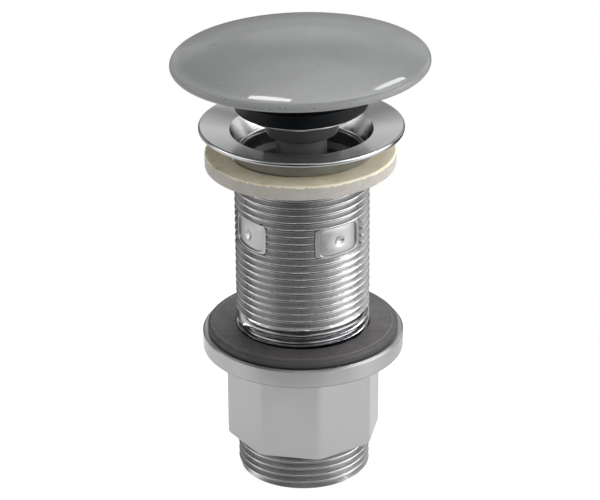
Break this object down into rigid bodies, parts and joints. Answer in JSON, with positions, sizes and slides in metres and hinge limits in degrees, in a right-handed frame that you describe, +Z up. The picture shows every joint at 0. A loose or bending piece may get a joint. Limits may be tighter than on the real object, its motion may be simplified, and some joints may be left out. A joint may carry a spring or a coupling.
{
  "type": "sprung plug basin waste",
  "caption": "Push-to-close basin waste: domed ceramic plug on a sprung cartridge, dished flange, slotted threaded body and a screwed octagonal tail.",
  "frame": {"origin": "centre of the tail's end face, which the waste stands on", "axes": "+Z up along the common axis of the turned pieces; -Y is the picture's front"},
  "size_m": [0.079, 0.079, 0.1443],
  "materials": {
    "cap": "grey glaze, satin gloss",
    "cap_insert": "machined, plated",
    "plug_body": "black moulding, glossy",
    "plug_seal": "black rubber, matt",
    "seal_washer": "polished chrome",
    "plug_sleeve": "dark grey moulding",
    "centre_stud": "plated steel",
    "stud_o_ring": "black rubber",
    "stud_nut": "machined, plated",
    "plunger": "machined, plated",
    "index_drum": "black moulding",
    "thrust_washer": "stainless steel",
    "stem_clip": "stainless spring steel",
    "return_spring": "stainless spring wire",
    "cartridge_body": "dark grey moulding",
    "guide_pin_front": "stainless steel",
    "guide_pin_back": "stainless steel",
    "cartridge_end_plug": "dark grey moulding",
    "spider": "dark grey moulding",
    "waste_body": "chromed brass, polished throat, satin outside",
    "flange_gasket": "translucent rubber, matt",
    "foam_washer": "open foam, off-white",
    "tail_washer": "grey rubber, matt",
    "tail_body": "chromed brass, satin"
  },
  "bodies": {
    "waste": {"waste_body": "waste_body", "spider": "spider", "cartridge_body": "cartridge_body", "guide_pin_front": "guide_pin_front", "guide_pin_back": "guide_pin_back", "cartridge_end_plug": "cartridge_end_plug", "flange_gasket": "flange_gasket", "foam_washer": "foam_washer", "return_spring": "return_spring"},
    "plug": {"cap": "cap", "cap_insert": "cap_insert", "plug_body": "plug_body", "plug_seal": "plug_seal", "seal_washer": "seal_washer", "plug_sleeve": "plug_sleeve", "centre_stud": "centre_stud", "stud_o_ring": "stud_o_ring", "stud_nut": "stud_nut", "plunger": "plunger", "thrust_washer": "thrust_washer", "stem_clip": "stem_clip"},
    "drum": {"index_drum": "index_drum"},
    "tail_ring": {"tail_washer": "tail_washer"},
    "tail": {"tail_body": "tail_body"}
  },
  "joints": [
    {"name": "plug_slide", "type": "slide", "parent": "waste", "child": "plug", "axis": [0, 0, 1], "range_m": [-0.011, 0], "stiffness_N_per_m": 400, "springref_m": 0.01, "deforming": ["return_spring"]},
    {"name": "drum_turn", "type": "hinge", "parent": "plug", "child": "drum", "pos_m": [0, 0, 0.1055], "axis": [0, 0, 1], "range_deg": [-45, 0]},
    {"name": "tail_slide", "type": "slide", "parent": "waste", "child": "tail_ring", "axis": [0, 0, 1], "range_m": [0, 0.0231]},
    {"name": "tail_turn", "type": "hinge", "parent": "tail_ring", "child": "tail", "pos_m": [0, 0, 0.03], "axis": [0, 0, 1], "range_deg": [0, 3600]}
  ],
  "couplings": [
    {"joint": "drum_turn", "follows": "plug_slide", "rad_per_m": 71.4},
    {"joint": "tail_slide", "follows": "tail_turn", "m_per_rad": 0.00036749}
  ]
}
